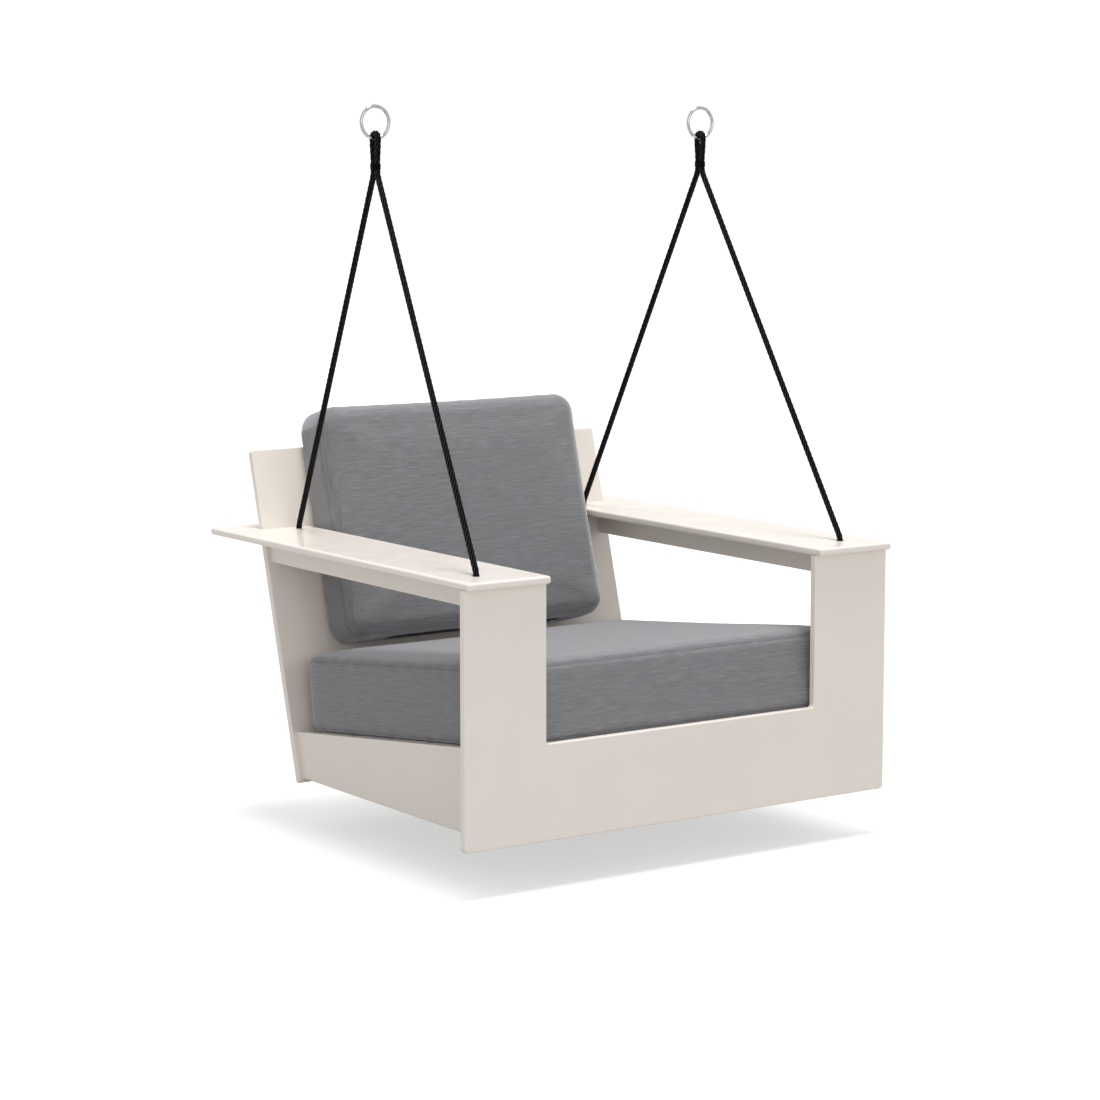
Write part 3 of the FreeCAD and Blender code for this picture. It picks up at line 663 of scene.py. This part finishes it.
def stitch_tree():
    """Small rounded stitches a fixed step apart along an edge line."""
    tree = bpy.data.node_groups.new("stitches_along_line", "GeometryNodeTree")
    face = tree.interface
    face.new_socket("Line", in_out="INPUT", socket_type="NodeSocketGeometry")
    for name, value in (("Step", 4.0 * MM), ("Length", 3.2 * MM), ("Thickness", 0.7 * MM)):
        face.new_socket(name, in_out="INPUT", socket_type="NodeSocketFloat").default_value = value
    face.new_socket("Finish", in_out="INPUT", socket_type="NodeSocketMaterial")
    face.new_socket("Stitches", in_out="OUTPUT", socket_type="NodeSocketGeometry")
    group_in = tree.nodes.new("NodeGroupInput")
    curve = add(tree, "GeometryNodeMeshToCurve", links={"Mesh": group_in.outputs["Line"]})
    points = add(tree, "GeometryNodeCurveToPoints", {"mode": "LENGTH"},
                 {"Curve": curve.outputs[0], "Length": group_in.outputs["Step"]})
    turn = add(tree, "FunctionNodeAlignRotationToVector", {"axis": "X"},
               {"Vector": points.outputs["Tangent"]})
    size = add(tree, "ShaderNodeCombineXYZ", links={
        "X": group_in.outputs["Length"], "Y": group_in.outputs["Thickness"],
        "Z": group_in.outputs["Thickness"]})
    bead = add(tree, "GeometryNodeMeshUVSphere", {"Segments": 6, "Rings": 4, "Radius": 0.5})
    smooth = add(tree, "GeometryNodeSetShadeSmooth", links={"Geometry": bead.outputs["Mesh"]})
    placed = add(tree, "GeometryNodeInstanceOnPoints", links={
        "Points": points.outputs["Points"], "Instance": smooth.outputs[0],
        "Rotation": turn.outputs["Rotation"], "Scale": size.outputs[0]})
    real = add(tree, "GeometryNodeRealizeInstances", links={"Geometry": placed.outputs[0]})
    done = add(tree, "GeometryNodeSetMaterial", links={
        "Geometry": real.outputs[0], "Material": group_in.outputs["Finish"]})
    add(tree, "NodeGroupOutput", links={"Stitches": done.outputs[0]})
    return tree


stitches = stitch_tree()


def stitched(name, lines, closed, sizes, finish):
    """A plain mesh of stitches along lines."""
    points, edges = [], []
    for line in lines:
        first = len(points)
        points += [tuple(p) for p in line]
        edges += [(first + i, first + i + 1) for i in range(len(line) - 1)]
        if closed:
            edges.append((len(points) - 1, first))
    mesh = bpy.data.meshes.new(name)
    mesh.from_pydata(points, edges, [])
    piece = bpy.data.objects.new(name, mesh)
    scene.collection.objects.link(piece)
    modifier = piece.modifiers.new("stitches", "NODES")
    modifier.node_group = stitches
    set_by_name(modifier, stitches, dict(sizes, Finish=finish))
    made = evaluated_copy(piece, name)
    piece.modifiers.clear()
    piece.data = made
    return piece


def laid_on(tree, points, toward, lift):
    """Points dropped along a direction on to a surface, then raised off it."""
    direction = Vector(toward).normalized()
    stand_off = 60 * MM
    found = []
    for point in points:
        hit = tree.ray_cast(Vector(point) - direction * stand_off, direction)
        found.append(tuple((hit[0] if hit[0] is not None else Vector(point)) - direction * lift))
    return np.array(found)


def zip_pieces(name, cover, centre, half_length, across, toward):
    """Tape, coil and sewing laid on a cover's face, and the place of the slider."""
    tree = BVHTree.FromObject(cover, bpy.context.evaluated_depsgraph_get())
    xs = np.linspace(-half_length, half_length, 90)
    rows = []
    for shift in (-13, -6.5, -2.2, 2.2, 6.5, 13):
        line = [np.array(centre) + np.array((x, 0, 0)) + np.array(across) * shift * MM for x in xs]
        rows.append(laid_on(tree, line, toward, 0.35 * MM))
    points = np.concatenate(rows)
    n = len(xs)
    faces = [(r * n + i, r * n + i + 1, (r + 1) * n + i + 1, (r + 1) * n + i)
             for r in range(len(rows) - 1) for i in range(n - 1)]
    tape = add_piece(name, points, faces, zip_tape)
    bm = bmesh.new()
    bm.from_mesh(tape.data)
    bmesh.ops.solidify(bm, geom=bm.faces[:], thickness=0.5 * MM)
    bmesh.ops.recalc_face_normals(bm, faces=bm.faces[:])
    bm.to_mesh(tape.data)
    bm.free()
    out = -np.array(Vector(toward).normalized())
    middle = (rows[2] + rows[3]) / 2 + out * 0.5 * MM
    coil_lines = [middle + np.array(across) * shift * MM for shift in (-0.9, 0.9)]
    coil = stitched(name + "_coil", coil_lines, False,
                    {"Step": 1.9 * MM, "Length": 1.5 * MM, "Thickness": 1.5 * MM}, zip_coil)
    edge_lines = [(inner + outer) * 0.5 + out * 0.1 * MM
                  for inner, outer in ((rows[1], rows[0]), (rows[4], rows[5]))]
    sewn = stitched(name + "_sewing", edge_lines, False,
                    {"Step": 4.0 * MM, "Length": 3.3 * MM, "Thickness": 0.6 * MM}, grey_thread)
    return tape, coil, sewn, Vector(middle[-3])


def zip_slider(name, at, across, out):
    """A slider body with its bridge and a pull tab lying along the coil."""
    x_axis, y_axis, z_axis = Vector((1, 0, 0)), Vector(across), Vector(out)
    place = Matrix((x_axis, y_axis, z_axis)).transposed().to_4x4()
    place.translation = at
    body = (11, 8.5, 1.0), (0, 0, 1.0)
    bridge = (6, 2.2, 1.6), (0, 0, 2.1)
    tab = (20, 5.5, 0.9), (-12, 0, 3.1)
    bm = bmesh.new()
    for size, shift in (body, bridge, tab):
        made = bmesh.ops.create_cube(bm, size=1.0, matrix=Matrix.Translation([s * MM for s in shift])
                                     @ Matrix.Diagonal((*[s * MM for s in size], 1)))
        edges = list({edge for vertex in made["verts"] for edge in vertex.link_edges})
        bmesh.ops.bevel(bm, geom=edges, offset=0.38 * MM, segments=2, profile=0.5, affect="EDGES")
    bm.transform(place)
    mesh = bpy.data.meshes.new(name)
    bm.to_mesh(mesh)
    bm.free()
    mesh.materials.append(brushed)
    piece = bpy.data.objects.new(name, mesh)
    scene.collection.objects.link(piece)
    return piece


def pulled_in(co, low, high, amount, axes):
    """Sides drawn in between the corners, most at their middles."""
    co = co.copy()
    for axis, other in (axes, axes[::-1]):
        middle = (low[axis] + high[axis]) / 2
        half = (high[axis] - low[axis]) / 2
        share = (co[:, other] - (low[other] + high[other]) / 2) / ((high[other] - low[other]) / 2)
        inward = amount * np.clip(1 - share ** 2, 0, 1) ** 1.2
        co[:, axis] -= (co[:, axis] - middle) / half * inward
    return co


def place_in(own_frame, *pieces):
    """Move pieces from a cushion's own frame to where it lies."""
    for piece in pieces:
        piece.data.transform(own_frame)


SEAM_STEP = 2 * MM
PULL_IN = 2.0 * MM
PRESSURE = 4.0


def seamed_cover(name, low, high, edges, upright, levels, voxel, crown):
    """A cover in its cushion's own frame, with its points and its seams."""
    corner, low_edge, high_edge = edges
    across = tuple(i for i in range(3) if i != upright)
    block = rounded_block(name, low, high, corner, low_edge, high_edge, upright)
    seams = [seam_loop(low, high, corner, inset, upright, level, SEAM_STEP) for level, inset in levels]
    co = pulled_in(blow_up(block, seams, voxel, crown, PRESSURE), low, high, PULL_IN, across)
    seams = [pulled_in(line, low, high, PULL_IN, across) for line in seams]
    return block, finish_cover(block, co, seams, SEAM_STEP), seams


# Seat cushion, in the seat's frame. Its lower edges are pressed nearly square by its weight.
seat_low, seat_high = (-0.3372, 0.0024, 0.0006), (0.3372, 0.6150, 0.1320)
seat_edges = (38 * MM, 5 * MM, 19 * MM)
seat_levels = ((6.0 * MM, 0.2 * MM), (120.5 * MM, 1.5 * MM))
seat_block, co, seat_seams = seamed_cover(
    "seat_cushion_cover", seat_low, seat_high, seat_edges, 2, seat_levels, 7.0 * MM, 9.0 * MM)
# It lies on the slats between the two sheets, and the back cushion rests on its rear.
SLATS_TOP, FRONT_SHEET, BACK_SHEET = 0.4 * MM, 0.9 * MM, 617.6 * MM
CROWN_TOP, REAR_TOP = 142.5 * MM, 135.6 * MM
co[:, 2] = np.maximum(co[:, 2], SLATS_TOP)
co[:, 1] = np.clip(co[:, 1], FRONT_SHEET, BACK_SHEET)
rear = np.clip((co[:, 1] - 500 * MM) / (40 * MM), 0, 1)
co[:, 2] = np.minimum(co[:, 2], (1 - rear) * CROWN_TOP + rear * REAR_TOP)
dress_cover(seat_block, co, 2)

# Back cushion, in the back's frame. Its front panel domes forward from a seam on its sides.
back_low, back_high = (-0.2645, -0.1030, -0.2130), (0.2645, -0.0012, 0.1940)
back_edges = (37 * MM, 27 * MM, 12 * MM)
back_levels = ((-70.0 * MM, 0.1 * MM), (-7.0 * MM, 2.4 * MM))
back_block, co, back_seams = seamed_cover(
    "back_cushion_cover", back_low, back_high, back_edges, 1, back_levels, 6.0 * MM, 6.0 * MM)
# It lies flat on the back sheet, and flat on the seat cushion's rear.
co[:, 1] = np.minimum(co[:, 1], -0.6 * MM)
to_seat = SEAT.inverted() @ BACK
upward = np.array(to_seat)[2]
above = co @ upward[:3] + upward[3]
lift = np.maximum(0, REAR_TOP + 0.6 * MM - above)
co = co + lift[:, None] * np.array(to_seat.inverted().to_3x3() @ Vector((0, 0, 1)))
dress_cover(back_block, co, 1)


def seam_thread(name, cover, seams):
    """Stitches that lie in a cover's seam valleys."""
    tree = BVHTree.FromObject(cover, bpy.context.evaluated_depsgraph_get())
    lines = []
    for line in seams:
        found = [tree.find_nearest(Vector(p)) for p in line]
        lines.append([tuple(hit[0] + hit[1] * 0.05 * MM) for hit in found])
    return stitched(name, lines, True,
                    {"Step": 4.2 * MM, "Length": 3.5 * MM, "Thickness": 0.8 * MM}, grey_thread)


bpy.context.view_layer.update()
seat_thread = seam_thread("seat_seam_stitches", seat_block, seat_seams)
back_thread = seam_thread("back_seam_stitches", back_block, back_seams)
seat_zip = zip_pieces("seat_zip_tape", seat_block, (0, 0.6183, 0.068), 0.2485, (0, 0, 1), (0, -1, 0))
seat_slider = zip_slider("seat_zip_slider", seat_zip[3], (0, 0, 1), (0, 1, 0))
back_zip = zip_pieces("back_zip_tape", back_block, (0, -0.0530, -0.2137), 0.1760, (0, 1, 0), (0, 0, 1))
back_slider = zip_slider("back_zip_slider", back_zip[3], (0, -1, 0), (0, 0, -1))

seat_pieces = [seat_block, seat_thread, *seat_zip[:3], seat_slider]
back_pieces = [back_block, back_thread, *back_zip[:3], back_slider]
place_in(SEAT, *seat_pieces)
place_in(BACK, *back_pieces)
for group, body, cad in ((seat_pieces, "seat", "seat_cushion"),
                         (back_pieces, "loose_back_cushion", "back_cushion")):
    for piece in group:
        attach(piece, body)
    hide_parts(cad)
    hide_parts(cad + "_zip")

# Floor, world and lights.
def pale_floor():
    """A matt pale floor, with a glow that only the camera sees, so that its shadows stay light."""
    made, tree, out = new_material("floor_matt_pale")
    place = add(tree, "ShaderNodeTexCoord").outputs["Object"]
    grain = add(tree, "ShaderNodeTexNoise", {"Scale": 4.0, "Detail": 2.0}, {"Vector": place})
    tone = ramp_between(tree, grain.outputs["Fac"], [(0.3, "#b2b2b2"), (0.7, "#b4b4b4")])
    matt = add(tree, "ShaderNodeBsdfDiffuse", links={"Color": tone.outputs["Color"]})
    glow = add(tree, "ShaderNodeEmission", {"Color": linear("#ffffff"), "Strength": 0.56})
    ray = add(tree, "ShaderNodeLightPath")
    both = add(tree, "ShaderNodeAddShader", links={0: matt.outputs[0], 1: glow.outputs[0]})
    shown = add(tree, "ShaderNodeMixShader", links={
        0: ray.outputs["Is Camera Ray"], 1: matt.outputs[0], 2: both.outputs[0]})
    tree.links.new(shown.outputs[0], out.inputs["Surface"])
    return made


FLOOR_Z = -1.208
FLOOR_HALF = 40
corners = [(x * FLOOR_HALF, y * FLOOR_HALF, FLOOR_Z) for x, y in ((-1, -1), (1, -1), (1, 1), (-1, 1))]
floor = add_piece("floor", corners, [(0, 1, 2, 3)], pale_floor(), smooth=False)

world = bpy.data.worlds.new("studio")
scene.world = world
world.use_nodes = True
sky = world.node_tree
sky.nodes.clear()
lit = add(sky, "ShaderNodeBackground", {"Color": linear("#ffffff"), "Strength": 0.66})
seen = add(sky, "ShaderNodeBackground", {"Color": linear("#ffffff"), "Strength": 1.05})
ray = add(sky, "ShaderNodeLightPath")
both = add(sky, "ShaderNodeMixShader", links={
    0: ray.outputs["Is Camera Ray"], 1: lit.outputs[0], 2: seen.outputs[0]})
add(sky, "ShaderNodeOutputWorld", links={"Surface": both.outputs[0]})


def soft_sun(name, azimuth, elevation, strength, softness):
    """A broad even light from a direction; azimuth 0 is from the front, 90 from the sitter's left."""
    data = bpy.data.lights.new(name, "SUN")
    data.energy = strength
    data.angle = math.radians(softness)
    lamp = bpy.data.objects.new(name, data)
    a, e = math.radians(azimuth), math.radians(elevation)
    toward = Vector((math.sin(a) * math.cos(e), -math.cos(a) * math.cos(e), math.sin(e)))
    lamp.rotation_euler = toward.to_track_quat("Z", "Y").to_euler()
    scene.collection.objects.link(lamp)


soft_sun("overhead_softbox", 20, 88, 2.7, 20)
soft_sun("front_fill", -12, 8, 0.50, 50)

scene.view_settings.view_transform = "Standard"
scene.view_settings.look = "None"
